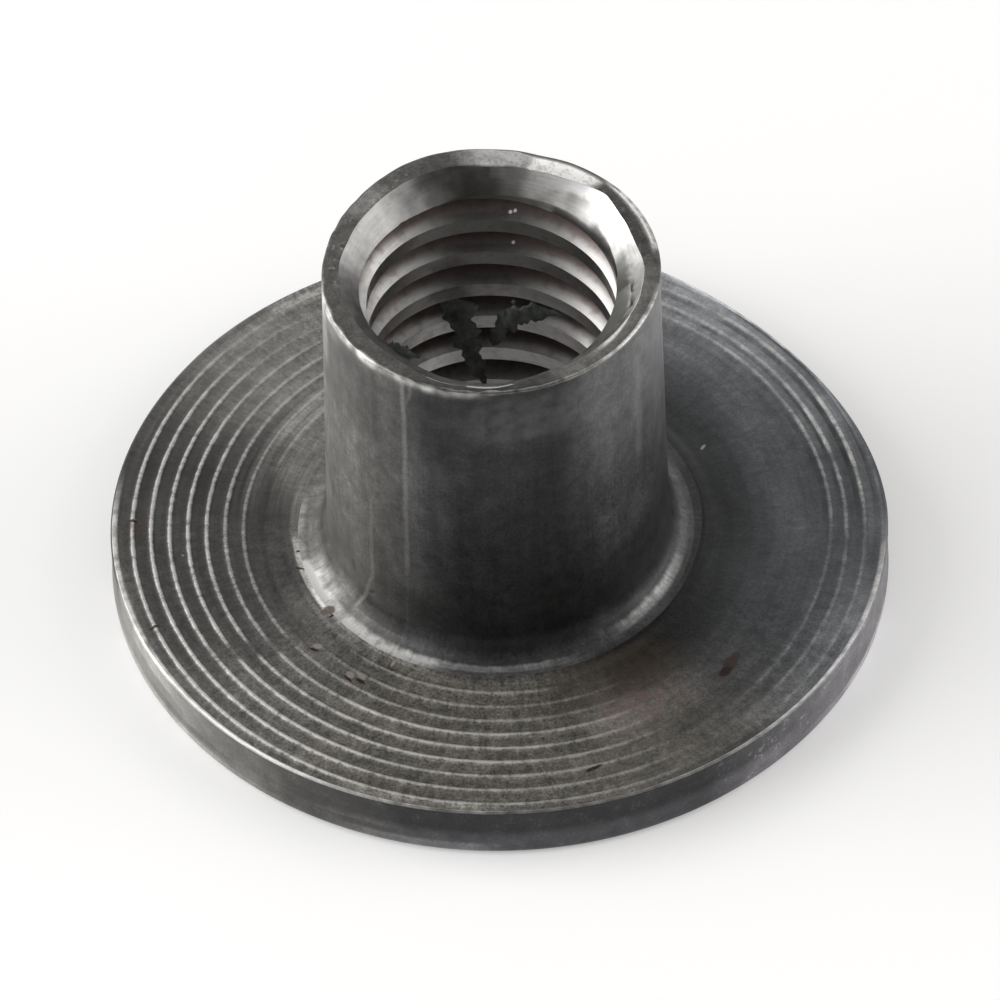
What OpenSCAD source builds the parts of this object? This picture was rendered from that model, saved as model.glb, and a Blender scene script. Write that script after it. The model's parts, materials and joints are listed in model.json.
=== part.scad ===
// Tee nut: a round flange with a threaded barrel standing at its centre,
// formed and turned as one piece of steel. Millimetres.
// The nut lies on its flange: +Z runs up the barrel, and the origin is the
// middle of the flange's underside.

/* [Flange] */
// Outside diameter of the flange
flange_d = 21; // [17:0.1:28]
// Thickness of the flange, from the underside to the crests of the rings
flange_t = 1.65; // [1.2:0.05:3]
// Width and height of the bevel round the flange's upper edge
flange_bevel = 0.1; // [0.05:0.01:0.3]
// Radius of the flange's lower edge, rolled over when the blank was cut
flange_edge_r = 0.25; // [0.1:0.01:0.6]

/* [Rings] */
// Distance from the middle of one turned groove to the middle of the next
groove_pitch = 0.5; // [0.4:0.01:0.8]
// Width of a groove, which leaves a narrow crest on each side of it
groove_w = 0.37; // [0.2:0.01:0.38]
// Depth of a groove below the crests
groove_depth = 0.05; // [0.02:0.01:0.1]
// Width of the crest between the outermost groove and the bevel
rim_crest_w = 0.035; // [0.02:0.005:0.5]
// Width of the plain seat between the fillet and the innermost groove
seat_w = 0.9; // [0.3:0.05:1.5]

/* [Barrel] */
// Height of the nut, from the underside to the barrel's top
total_h = 11.8; // [7:0.1:20]
// Thickness of the barrel's wall, from the bore to the outside
wall_t = 1.2; // [1:0.05:2]
// Radius of the fillet where the barrel meets the flange
fillet_r = 0.8; // [0.3:0.05:1]
// Width of the bevel round the barrel's top, outside
barrel_bevel = 0.1; // [0.05:0.01:0.2]
// Width of the flat land that is left at the barrel's top
land_w = 0.4; // [0.1:0.05:0.6]

/* [Bore] */
// Diameter of the bore, at the crests of its thread
bore_d = 6.7; // [5:0.05:8.5]
// Full angle of the countersink at the barrel's top, in degrees
sink_angle = 90; // [60:5:120]
// Width of the bevel at the bore's mouth in the underside
mouth_bevel = 0.5; // [0.2:0.05:1]

/* [Hidden] */

$fn = 96;

// How far a cutting shape reaches past the surface that it opens
over = 1;

flange_r = flange_d / 2;
bore_r = bore_d / 2;
barrel_r = bore_r + wall_t;
sink_w = wall_t - barrel_bevel - land_w;
sink_depth = sink_w / tan(sink_angle / 2);

// A groove's section is an arc that is groove_w wide where it leaves the face
groove_arc_r = (pow(groove_w / 2, 2) + pow(groove_depth, 2)) / (2 * groove_depth);

// The outermost groove is set from the rim, and as many follow as leave the seat
outer_groove_r = flange_r - flange_bevel - rim_crest_w - groove_w / 2;
groove_room = outer_groove_r - groove_w / 2 - (barrel_r + fillet_r + seat_w);
groove_count = floor(groove_room / groove_pitch) + 1;

// The flange's half section: bevelled above, rolled over below
module flange_section() {
    difference() {
        square([flange_r, flange_t]);
        polygon([
            [flange_r - flange_bevel, flange_t],
            [flange_r, flange_t - flange_bevel],
            [flange_r + over, flange_t - flange_bevel],
            [flange_r + over, flange_t + over],
            [flange_r - flange_bevel, flange_t + over]
        ]);
        difference() {
            translate([flange_r - flange_edge_r, -over])
                square([flange_edge_r + over, flange_edge_r + over]);
            translate([flange_r - flange_edge_r, flange_edge_r])
                circle(r = flange_edge_r);
        }
    }
}

// The arcs that turn the rings into the flange's face, outermost first
module groove_sections() {
    for (i = [0 : groove_count - 1])
        translate([outer_groove_r - i * groove_pitch, flange_t - groove_depth + groove_arc_r])
            circle(r = groove_arc_r);
}

// The barrel's half section, with the small bevel at its top
module barrel_section() {
    polygon([
        [0, 0],
        [barrel_r, 0],
        [barrel_r, total_h - barrel_bevel],
        [barrel_r - barrel_bevel, total_h],
        [0, total_h]
    ]);
}

// The hollow corner between the barrel's wall and the flange's face
module fillet_section() {
    difference() {
        translate([barrel_r - wall_t / 2, flange_t / 2])
            square([fillet_r + wall_t / 2, fillet_r + flange_t / 2]);
        translate([barrel_r + fillet_r, flange_t + fillet_r])
            circle(r = fillet_r);
    }
}

// What the tap drill and the two countersinks take out, as a half section
module bore_section() {
    translate([-over, -over])
        square([bore_r + over, total_h + 2 * over]);
    polygon([
        [0, total_h - sink_depth],
        [bore_r, total_h - sink_depth],
        [bore_r + sink_w, total_h],
        [bore_r + sink_w, total_h + over],
        [0, total_h + over]
    ]);
    polygon([
        [0, mouth_bevel],
        [bore_r, mouth_bevel],
        [bore_r + mouth_bevel, 0],
        [bore_r + mouth_bevel, -over],
        [0, -over]
    ]);
}

// The whole nut, as one section turned about its axis
module tee_nut() {
    color([0.30, 0.30, 0.29])
        rotate_extrude()
            difference() {
                union() {
                    difference() {
                        flange_section();
                        groove_sections();
                    }
                    barrel_section();
                    fillet_section();
                }
                bore_section();
            }
}

tee_nut();
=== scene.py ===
"""Looks of a tee nut: its body with the turned rings and the cut thread, the
swarf left in the bore, their steel finishes, and the studio around them."""

import json
import math
from functools import reduce

import bmesh
import bpy
import numpy as np
from bpy.props import FloatProperty, FloatVectorProperty, IntProperty, PointerProperty
from mathutils import Matrix, Vector


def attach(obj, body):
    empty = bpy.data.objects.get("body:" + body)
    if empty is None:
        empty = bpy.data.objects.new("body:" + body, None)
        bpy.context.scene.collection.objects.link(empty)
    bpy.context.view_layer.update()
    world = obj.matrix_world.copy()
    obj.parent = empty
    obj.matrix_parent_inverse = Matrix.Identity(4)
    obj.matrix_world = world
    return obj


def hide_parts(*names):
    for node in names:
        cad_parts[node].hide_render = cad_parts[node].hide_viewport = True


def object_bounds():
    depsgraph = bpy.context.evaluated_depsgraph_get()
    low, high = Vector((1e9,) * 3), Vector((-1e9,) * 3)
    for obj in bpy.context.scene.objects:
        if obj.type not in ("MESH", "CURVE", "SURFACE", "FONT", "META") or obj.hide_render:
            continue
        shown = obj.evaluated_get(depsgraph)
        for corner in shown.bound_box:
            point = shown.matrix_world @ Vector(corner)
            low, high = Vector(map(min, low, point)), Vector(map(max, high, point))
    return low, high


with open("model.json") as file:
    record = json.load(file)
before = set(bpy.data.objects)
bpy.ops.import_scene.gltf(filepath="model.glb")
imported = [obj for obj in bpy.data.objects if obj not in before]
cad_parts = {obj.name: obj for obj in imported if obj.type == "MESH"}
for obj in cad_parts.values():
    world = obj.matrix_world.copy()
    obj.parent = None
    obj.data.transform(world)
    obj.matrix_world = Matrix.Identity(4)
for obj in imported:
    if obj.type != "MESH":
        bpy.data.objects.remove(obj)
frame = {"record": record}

bl_info = {
    "name": "Tee nut looks",
    "version": (1, 0, 0),
    "blender": (4, 5, 0),
    "location": "View3D > Sidebar > Tee nut",
    "description": "Builds the visual model of a threaded tee nut and its studio",
    "category": "Object",
}

MM = 0.001
TURN = 2 * math.pi

CAD_LOW, CAD_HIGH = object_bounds()
MOUNTS = {mount["name"]: mount for mount in frame["record"]["mounts"]}
BORE_R = MOUNTS["thread"]["dims"]["r_mm"] * MM
BARREL_R = MOUNTS["barrel"]["dims"]["r_mm"] * MM
WALL_H = MOUNTS["barrel"]["dims"]["length_mm"] * MM
FACE_Z = MOUNTS["flange_seat"]["pos_m"][2]
TOP_Z = CAD_HIGH.z
FLANGE_R = min(CAD_HIGH.x, CAD_HIGH.y)
SEAT_R = 5.5 * MM

# The flange's out-of-round in mm: its mean, then the cosine and the sine of
# one wave round it, of two waves, and so on.
UNEVEN_MEAN = -0.044
UNEVEN = ((-0.027, 0.115), (-0.058, -0.099), (0.037, -0.096), (0.091, -0.009), (0.013, 0.026))

# How the outer rings at the right lie outwards: by how many mm, the middle,
# half width and fade of that arc in degrees, and the radii in mm where it ends.
RING_SHIFT = 0.12
SHIFT_ARC = (36, 22, 34)
SHIFT_END = (9.05, 9.4)

RING_ROWS = 12  # rows of points to a ring's pitch
FLANK_SLOPE = math.tan(math.radians(30))
CHIP_STEPS = 80
CHIP_SIDES = 12
CHIP_FACING = (0.0, -0.68, 0.73)
SAME_POINT = 1e-7  # metres within which points are merged
SHARP_EDGE = math.radians(38)

FLOOR_HALF = 1.5
FLOOR_GAP = 0.02 * MM
FLOOR_GLOW = 0.25
PAPER = (0.8, 0.8, 0.8, 1.0)
WORLD_LEVEL = 0.5
LAMP_AIM = (0, 0, 5 * MM)
CLIP_RANGE = (0.01, 10)
TENT_COLUMNS = 96
TENT_ROWS = 33


# ---------------------------------------------------------------- settings

def length(name, description, default):
    """A property that holds a length in metres."""
    return FloatProperty(
        name=name, description=description, default=default,
        min=0.0, max=10, precision=6, subtype="DISTANCE", unit="LENGTH",
    )


def angle(name, description, degrees):
    """A property that holds an angle, given here in degrees."""
    return FloatProperty(
        name=name, description=description, default=math.radians(degrees),
        subtype="ANGLE", unit="ROTATION",
    )


def spot(name, description, x, y, z):
    """A property that holds a point, given here in millimetres."""
    return FloatVectorProperty(
        name=name, description=description, default=(x * MM, y * MM, z * MM),
        size=3, precision=6, subtype="TRANSLATION", unit="LENGTH",
    )


def colour(name, description, red, green, blue):
    """A property that holds a linear colour."""
    return FloatVectorProperty(
        name=name, description=description, default=(red, green, blue),
        size=3, min=0.0, max=1.0, subtype="COLOR",
    )


class TeeNutShape(bpy.types.PropertyGroup):
    """Sizes of the body that the fixed frame doesn't give."""

    columns: IntProperty(
        name="Columns", description="Steps round the axis", default=384, min=48, max=1024,
    )
    barrel_bevel: length("Barrel bevel", "Bevel round the barrel's end", 0.1 * MM)
    land_w: length("Land", "Flat land at the barrel's end", 0.4 * MM)
    sink_depth: length("Countersink depth", "Depth of the countersink", 0.7 * MM)
    barrel_draft: length("Draft", "How much the barrel widens at its foot", 0.06 * MM)
    barrel_taper: length("Taper", "How much the barrel narrows at its top", 0.04 * MM)
    mouth_bevel: length("Mouth bevel", "Bevel at the bore's mouth underneath", 0.5 * MM)
    flange_bevel: length("Flange bevel", "Bevel round the flange's face", 0.06 * MM)
    flange_roll: length("Flange roll-over", "Radius of the flange's lower edge", 0.25 * MM)
    ring_count: IntProperty(name="Rings", description="Raised rings on the face", default=9)
    ring_pitch: length("Ring pitch", "Distance from ring to ring", 0.5 * MM)
    ring_first_r: length("First ring", "Radius of the innermost ring", 5.93 * MM)
    ring_crest_w: length("Ring crest", "Width of a ring's crest", 0.085 * MM)
    ring_depth: length("Ring depth", "Depth between two rings", 0.055 * MM)
    ring_oval: length("Ring oval", "How far the rings are out of round", 0.09 * MM)
    ring_turn: angle("Ring turn", "Direction in which the rings are narrowest", 25)


class TeeNutThread(bpy.types.PropertyGroup):
    """The cut thread: metric coarse, with blunt crests."""

    pitch: length("Pitch", "Distance from turn to turn", 1.25 * MM)
    root_r: length("Root radius", "Radius at the bottom of the thread", 3.95 * MM)
    crest_w: length("Crest width", "Width of the flat left at the crest", 0.46 * MM)
    crest_z: length("Crest height", "Height of a crest's lower edge at the back", 9.73 * MM)
    run_out: length("Run-out", "Height at which the last groove fades out", 11.42 * MM)


class TeeNutSwarf(bpy.types.PropertyGroup):
    """The chips left in the bore."""

    thickness: length("Thickness", "Thickness of a chip", 0.05 * MM)
    strip_from: spot("Strip from", "Upper end of the long strip", -0.95, 2.6, 7.95)
    strip_bend: spot("Strip bend", "Where the long strip narrows", -0.62, 2.35, 6.25)
    strip_to: spot("Strip to", "Lower end of the long strip", -0.22, 2, 5.15)
    leaf_from: spot("Leaf from", "Lower end of the leaf", 0.0, 2.2, 6.45)
    leaf_bend: spot("Leaf bend", "Where the leaf is widest", 0.62, 2.5, 7.25)
    leaf_to: spot("Leaf to", "Upper end of the leaf", 1.92, 2.4, 7.38)
    curl_from: spot("Curl from", "Left end of the curl", -2.95, 0.6, 8.25)
    curl_bend: spot("Curl bend", "Middle of the curl", -2.6, 0.9, 7.85)
    curl_to: spot("Curl to", "Right end of the curl", -1.95, 1.0, 7.38)


class TeeNutFinish(bpy.types.PropertyGroup):
    """Colours of the steel and of what lies on it."""

    skin: colour("Skin", "Dark oiled skin of the steel", 0.106, 0.103, 0.097)
    # Worn steel, and also the colour of the painted highlights on corners, edges, crests and the fillet
    bare: colour("Bare steel", "Steel rubbed bare", 0.52, 0.515, 0.5)
    cut: colour("Cut steel", "Countersink and thread", 0.52, 0.51, 0.495)
    stain: colour("Stain", "Brown oil stain", 0.07, 0.052, 0.034)
    rust: colour("Rust", "Red-brown specks", 0.085, 0.034, 0.022)
    root: colour("Thread root", "Red-brown film in the thread's roots", 0.17, 0.125, 0.115)
    swarf: colour("Swarf", "Chips left in the bore", 0.13, 0.145, 0.13)


class TeeNutStage(bpy.types.PropertyGroup):
    """The camera, the floor and the lights."""

    elevation: angle("Elevation", "Height of the camera above the floor", 47.17)
    roll: angle("Roll", "Tilt of the camera about its own axis", -1.78)
    distance: length("Distance", "From the camera to the nut", 0.63)
    view_width: length("View width", "Width seen at the nut", 27 * MM)
    aim_right: length("Aim right", "Picture's middle, right of the origin", 0.06 * MM)
    aim_up: length("Aim up", "Picture's middle, above the origin", 1.87 * MM)
    tent_r: length("Tent radius", "Radius of the light tent that reflections see", 0.3)


# ---------------------------------------------------------------- geometry

def smooth(x, low, high):
    """0 below low, 1 above high, and a smooth S between them."""
    t = np.clip((x - low) / (high - low), 0.0, 1.0)
    return t * t * (3 - 2 * t)


def arc(theta, middle, half, fade):
    """1 within half degrees of middle, falling to 0 over fade degrees more."""
    away = np.abs((np.degrees(theta) - middle + 180) % 360 - 180)
    return 1.0 - smooth(away, half, half + fade)


def peaks(theta, *arcs):
    """The highest of some arcs, each given by its middle, its half width and
    its fade in degrees, and its height."""
    return np.max([height * arc(theta, *where) for *where, height in arcs], axis=0)


def ripple(theta, along, seed, waves, turns, runs):
    """Sum of sine waves of about unit height over angle and length.

    Each wave has a whole number of turns round the axis, up to turns, and a
    number of cycles per metre along the other way, up to runs.
    """
    draw = np.random.default_rng(seed)
    total = 0.0
    for _ in range(waves):
        around = draw.integers(0, turns + 1)
        rise = draw.uniform(-runs, runs)
        phase = draw.uniform(0.0, TURN)
        total = total + np.sin(around * theta + TURN * rise * along + phase)
    return total * math.sqrt(2 / waves)


def polar(radius, theta, z):
    """Points at a radius and an angle about the axis, at height z."""
    radius, theta, z = np.broadcast_arrays(radius, theta, z)
    return np.stack([radius * np.cos(theta), radius * np.sin(theta), z], axis=-1)


def steps(count, last=False):
    """count even parameters from 0 up to 1, with 1 itself only if last."""
    return np.linspace(0.0, 1.0, count, endpoint=last)[None, :]


def outline(theta):
    """Outer radius of the flange: a circle that is a little out of round."""
    uneven = UNEVEN_MEAN
    for waves, (cosine, sine) in enumerate(UNEVEN, 1):
        uneven = uneven + cosine * np.cos(waves * theta) + sine * np.sin(waves * theta)
    return FLANGE_R + np.minimum(uneven, 0.0) * MM


def ring_shift(theta, rho):
    """How far the right part of the outer rings lies outside their circles."""
    return RING_SHIFT * MM * arc(theta, *SHIFT_ARC) * (1.0 - smooth(rho / MM, *SHIFT_END))


def ring_place(rho, shape):
    """Where rho lies among the rings, in pitches outwards from the innermost,
    and the number of the ring nearest to it."""
    place = (rho - shape.ring_first_r) / shape.ring_pitch
    return place, np.clip(np.round(place), 0, shape.ring_count - 1)


def ring_wear(theta, rho, shape):
    """How much of each ring is left standing, from 0 to 1: the left ones grow
    outwards, the front ones run to the innermost, the outer three cross the
    right, and a dent crosses some at the left."""
    index = ring_place(rho, shape)[1]
    thirds = [index < 3, index < 6]  # the inner three rings, and the inner six
    left = arc(theta, 198, 40, 32) * np.minimum(0.15 * index + 0.05, 0.9)
    front = np.maximum(arc(theta, 246, 18, 34), 0.6 * arc(theta, 281, 2, 20))
    front = front * np.select(thirds, [0.36 + 0.05 * index, 0.85], 0.65)
    front = front * (1.0 - 0.4 * arc(theta, 224, 8, 10) * thirds[1])
    back = arc(theta, 142, 12, 14) * np.select(thirds, [0.22, 0.34], 0.15)
    right = peaks(theta, (38, 26, 26, 0.5), (20, 4, 12, 0.75), (336, 12, 14, 0.16))
    right = right * (0.75 + 0.15 * (index - 6)) * (0.9 + 0.25 * ripple(theta, index, 31, 12, 60, 3))
    inner = np.where(index == 0, 0.4 * arc(theta, 255, 20, 12), np.maximum(front, back))
    inner = np.where(index == 1, inner * (1.0 - arc(theta, 188, 26, 12)), inner)
    dent = arc(theta, 213 - 1.4 * (index - 3), 1.4, 2.2) * smooth(7 - index, 0.0, 2)
    wear = np.maximum(np.where(index > 1, left, 0.0), inner)
    wear = np.maximum(wear, np.where(index > 5, right, 0.0))
    return np.clip(wear, 0.0, 1.0) * (1.0 - 0.85 * dent)


def ring_height(theta, rho, shape):
    """Height of the face below its rings' tops: a narrow crest at each ring
    with wide shallow hollows between them."""
    place, index = ring_place(rho, shape)
    away = np.abs(place - index) * shape.ring_pitch
    crest = 1.0 - smooth(away, shape.ring_crest_w * 0.2, shape.ring_crest_w * 1.1)
    return -shape.ring_depth * (1.0 - crest * ring_wear(theta, rho, shape))


def face(theta, shape):
    """The flange's face, from the fillet out to the bevel: circles that grow
    a little oval where the rings are, raised by ring_height. The ring zone has
    RING_ROWS rows to a pitch.

    Returns the points, how much of its ring stands at each, and how near it
    is to the outer lip.
    """
    inner = BARREL_R + shape.barrel_draft + fillet_r(shape)
    first = shape.ring_first_r - shape.ring_pitch * 0.75
    last = shape.ring_first_r + shape.ring_pitch * (shape.ring_count - 0.5)
    rows = round((last - first) / shape.ring_pitch * RING_ROWS)
    outer = FLANGE_R - shape.flange_bevel
    rho = np.concatenate([
        inner + (first - inner) * steps(3), first + (last - first) * steps(rows),
        last + (outer - last) * steps(6),
    ], axis=1)
    rim = smooth(rho, last, outer)
    ovals = -shape.ring_oval * np.cos(2 * (theta - shape.ring_turn)) * smooth(rho, SEAT_R, 6.2 * MM)
    uneven = (ovals + ring_shift(theta, rho)) * (1.0 - rim) + (outline(theta) - FLANGE_R) * rim
    z = FACE_Z + ring_height(theta, rho, shape) * smooth(rho, SEAT_R, 5.85 * MM) * (1.0 - rim)
    z = z + 0.006 * MM * (ripple(theta, rho, 5, 14, 9, 400) - 1.0)
    wear = ring_wear(theta, rho, shape) * smooth(rho, 5.6 * MM, 5.75 * MM) * (1.0 - rim)
    lip = smooth(rho, outer - (0.12 + 0.05 * arc(theta, 215, 20, 14)) * MM, outer - 0.06 * MM)
    return polar(rho + uneven, theta, np.minimum(z, FACE_Z)), wear, lip


def fillet_r(shape):
    """Radius of the fillet between barrel and flange."""
    return TOP_Z - shape.barrel_bevel - WALL_H - FACE_Z


def rim_lines(theta, shape):
    """The lines round the barrel's end: the radii of the countersink's edge, of
    the land's outer edge, of the corner and of the wall below it, and how far
    the worn shoulder between the second and the third drops."""
    wider = peaks(theta, (48, 6, 16, 0.04), (262, 6, 28, 0.28), (352, 8, 18, 0.05))
    narrower = peaks(theta, (76, 14, 26, 0.28), (132, 30, 20, 0.1), (18, 8, 18, 0.1))
    uneven = 0.012 * ripple(theta, 0.0, 12, 8, 24, 0.0) + wider - narrower
    sink = BARREL_R - shape.barrel_bevel - shape.land_w + MM * uneven
    pinched = peaks(theta, (80, 8, 14, 1.4), (155, 12, 14, 0.8))
    spread = peaks(theta, (15, 20, 25, 0.8), (115, 4, 10, 1), (209, 14, 16, 1.6), (240, 12, 14, 0.9))
    end = BARREL_R - shape.barrel_taper * (1.0 + pinched - spread)
    burr = ripple(theta, 0.0, 17, 12, 60, 0.0)
    corner = end - shape.barrel_bevel * (
        0.75 - 0.45 * arc(theta, 112, 12, 18) + 0.2 * burr * arc(theta, 215, 60, 30)
    )
    worn = arc(theta, 10, 20, 40)
    jag = ripple(theta, 0.0, 11, 9, 36, 0.0)
    tilted = arc(theta, 57, 14, 10)
    land = corner - shape.barrel_bevel * (0.25 + 4 * np.maximum(worn, tilted) + 0.25 * jag * worn)
    drop = shape.barrel_bevel * (0.05 + 0.5 * np.maximum(worn, tilted))
    return sink, np.maximum(land, sink + 0.04 * MM), corner, end, drop


def corner_shine(theta, along):
    """The painted highlight along the barrel's corner, by the distance along it from
    the land outwards: a broad one over the burr at the left and a fine line elsewhere,
    broken by nicks."""
    nicks = np.clip(0.8 + 0.35 * ripple(theta, 0.0, 19, 10, 70, 0.0), 0.2, 1.0)
    left = peaks(theta, (212, 22, 10, 1), (248, 8, 14, 0.55))
    fine = peaks(theta, (285, 30, 12, 0.45), (328, 12, 14, 1), (25, 14, 10, 0.9))
    left = left * np.exp(-(((along - 0.19 * MM) / (0.13 * MM)) ** 2))
    fine = fine * np.exp(-(((along - 0.03 * MM) / (0.08 * MM)) ** 2))
    return np.maximum(left, fine) * nicks


def skin(theta, shape):
    """The outside of the nut as one grid, from the countersink's edge over the
    barrel, the face and the flange's edge to the bore's mouth below.

    Returns the points, how bright a painted highlight each has, partly worn
    steel, and how much of its ring stands, from 0 to 1, and for each row of
    faces which finish it has.
    """
    sink, land, corner, end, drop = rim_lines(theta, shape)
    top_r = BARREL_R - shape.barrel_taper
    foot_r = BARREL_R + shape.barrel_draft
    foot_z = FACE_Z + fillet_r(shape)
    mouth_r = BORE_R + shape.mouth_bevel
    rim = outline(theta)
    roll = shape.flange_roll
    spans, bare, worn, finishes = [], [], [], []

    def add(points, finish, sheen_and_rubbed=0.0, wear=0.0):
        spans.append(points)
        bare.append(np.broadcast_to(sheen_and_rubbed, points.shape[:2]))
        worn.append(np.broadcast_to(wear, points.shape[:2]))
        finishes.extend([finish] * points.shape[1])

    t = steps(6)
    # Painted highlights on the land and the shoulder: a bright patch at the back right, a spot at the back
    # left, a line inside at the front right and one along the corner at the right
    bright = peaks(theta, (60, 11, 6, 1), (84, 3, 20, 0.52), (141, 4, 8, 0.18))
    inner = arc(theta, 336, 16, 12) * (1.0 - smooth(t, 0.25, 0.55))
    add(polar(sink + (land - sink) * t, theta, TOP_Z), "rim", np.maximum(bright, inner))
    outer = arc(theta, 25, 12, 10) * smooth(t, 0.6, 0.85)
    sheen_and_rubbed = np.maximum(bright * (1.0 - smooth(t, 0.7, 0.9)), outer)
    add(polar(land + (corner - land) * t, theta, TOP_Z - drop * t * t), "rim", sheen_and_rubbed)
    t = steps(6) * math.pi / 2
    edge_z = TOP_Z - drop - (end - corner)
    rounded = polar(corner + (end - corner) * np.sin(t), theta, edge_z + (end - corner) * np.cos(t))
    add(rounded, "rim", corner_shine(theta, shape.barrel_bevel * t))

    t = np.concatenate([0.05 * steps(8), 0.05 + 0.95 * steps(34)], axis=1)
    z = edge_z + (foot_z - edge_z) * t
    wave = 0.01 * MM * ripple(theta, z, 3, 14, 9, 150) * np.sin(math.pi * t)
    wave = wave + (end - top_r) * (1.0 - smooth(edge_z - z, 0.0, 1.2 * MM))
    along = shape.barrel_bevel * math.pi / 2 + edge_z - z
    add(polar(top_r + (foot_r - top_r) * t + wave, theta, z), "barrel", corner_shine(theta, along))
    t = steps(14) * math.pi / 2
    radius = fillet_r(shape)
    add(polar(foot_r + radius * (1.0 - np.cos(t)), theta, foot_z - radius * np.sin(t)), "barrel")
    points, wear, lip = face(theta, shape)
    # Painted highlight along the face's outer lip, strongest at the left and the right, broken by nicks
    nicks = np.clip(0.55 + 0.4 * ripple(theta, 0.0, 23, 16, 150, 0.0), 0.1, 1.0)
    fine = np.clip(0.85 + 0.3 * ripple(theta, 0.0, 29, 14, 160, 0.0), 0.3, 1.0)
    edge = peaks(theta, (208, 30, 14, 1), (330, 12, 22, 0.75)) * fine
    edge = np.maximum(edge, peaks(theta, (250, 18, 20, 0.95), (288, 10, 20, 0.5)) * nicks)
    add(points, "face", lip * edge, wear)

    bevel = shape.flange_bevel
    t = steps(4)
    # Painted highlights on the bevel at the back and the front, with the lip's highlight on its upper part
    back = 0.8 * arc(theta, 60, 20, 20) * nicks
    front = (0.3 + 0.4 * nicks) * arc(theta, 270, 40, 20)
    sheen_and_rubbed = np.maximum(edge * (t < 0.4), np.maximum(back, front))
    add(polar(rim - bevel + bevel * t, theta, FACE_Z - bevel * t), "side", sheen_and_rubbed)
    t = steps(9)
    z = (FACE_Z - bevel) + (roll - FACE_Z + bevel) * t
    wave = 0.012 * MM * (ripple(theta, z, 8, 16, 70, 700) - 1.5)
    add(polar(rim + np.minimum(wave, 0.0) * np.sin(math.pi * t), theta, z), "side")
    t = steps(6) * math.pi / 2
    add(polar(rim - roll + roll * np.cos(t), theta, roll - roll * np.sin(t)), "side")
    t = steps(10, last=True)
    add(polar(rim - roll + (mouth_r - rim + roll) * t, theta, 0.0), "underside")
    joined = (np.concatenate(parts, axis=1) for parts in (spans, bare, worn))
    return *joined, finishes[:-1]


def thread_radius(theta, z, thread):
    """Radius of the thread's surface: a flat crest, flanks at 30 degrees and a
    narrow root, repeated up the helix and faded out where the last groove ends."""
    middle = thread.crest_z + thread.crest_w / 2 + thread.pitch * (theta / TURN - 0.25)
    turns = (z - middle) / thread.pitch
    groove = z - (turns - np.floor(turns) - 0.5) * thread.pitch
    away = np.abs(turns - np.round(turns)) * thread.pitch
    depth = thread.root_r - BORE_R
    rise = np.clip((away - thread.crest_w / 2) / FLANK_SLOPE, 0.0, depth)
    return BORE_R + rise * (1.0 - smooth(groove, thread.run_out, thread.run_out + 0.2 * MM))


def bore(theta, shape, thread):
    """The inside of the nut: thread_radius on rows that climb with the helix,
    so that each edge of the thread lies along a row, opened by the countersink
    above, which is deepest at the back, and by the mouth's bevel below.

    Returns the points and the number of rows in a pitch.
    """
    half = thread.crest_w / 2
    flank = (thread.root_r - BORE_R) * FLANK_SLOPE
    ease = 0.018 * MM
    side = np.array([
        half - ease, half, half + ease, half + flank * 0.36, half + flank * 0.68,
        half + flank - ease, half + flank,
    ])
    heights = np.concatenate([[0.0], side, thread.pitch - side[::-1]])
    pitches = math.ceil(TOP_Z / thread.pitch) + 3
    rows = (np.arange(pitches)[:, None] * thread.pitch + heights[None, :]).ravel()[None, :]
    start = (thread.crest_z + half) % thread.pitch - 2.25 * thread.pitch
    z = np.clip(start + rows + thread.pitch * theta / TURN, 0.0, TOP_Z)
    r = thread_radius(theta, z, thread)
    r = r + 0.005 * MM * ripple(theta, z, 21, 10, 12, 300) * smooth(z, 0.6 * MM, 1.0 * MM)
    sink = rim_lines(theta, shape)[0]
    share = (TOP_Z - z) / (shape.sink_depth * (1.0 + 0.3 * arc(theta, 72, 28, 26)))
    cone = np.where(share < 1.0, sink + (BORE_R - sink) * share, 0.0)
    mouth = BORE_R + shape.mouth_bevel - z
    r = np.maximum(np.maximum(r, cone), mouth)
    r = np.where(z >= TOP_Z, sink, np.where(z <= 0.0, BORE_R + shape.mouth_bevel, r))
    return polar(r, theta, z), len(heights)


def grid_faces(columns, rows, shift=0, first=0):
    """Quads over a grid of columns x rows vertices that closes on itself round
    the axis, where the last column meets the first one shift rows higher."""
    i = np.arange(columns)[:, None]
    k = np.arange(rows - 1)[None, :]
    rise = np.where(i == columns - 1, shift, 0)
    keep = k + rise + 1 < rows
    a = i * rows + k
    b = (i + 1) % columns * rows + k + rise
    return np.stack([a, b, b + 1, a + 1], axis=-1)[keep] + first


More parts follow.
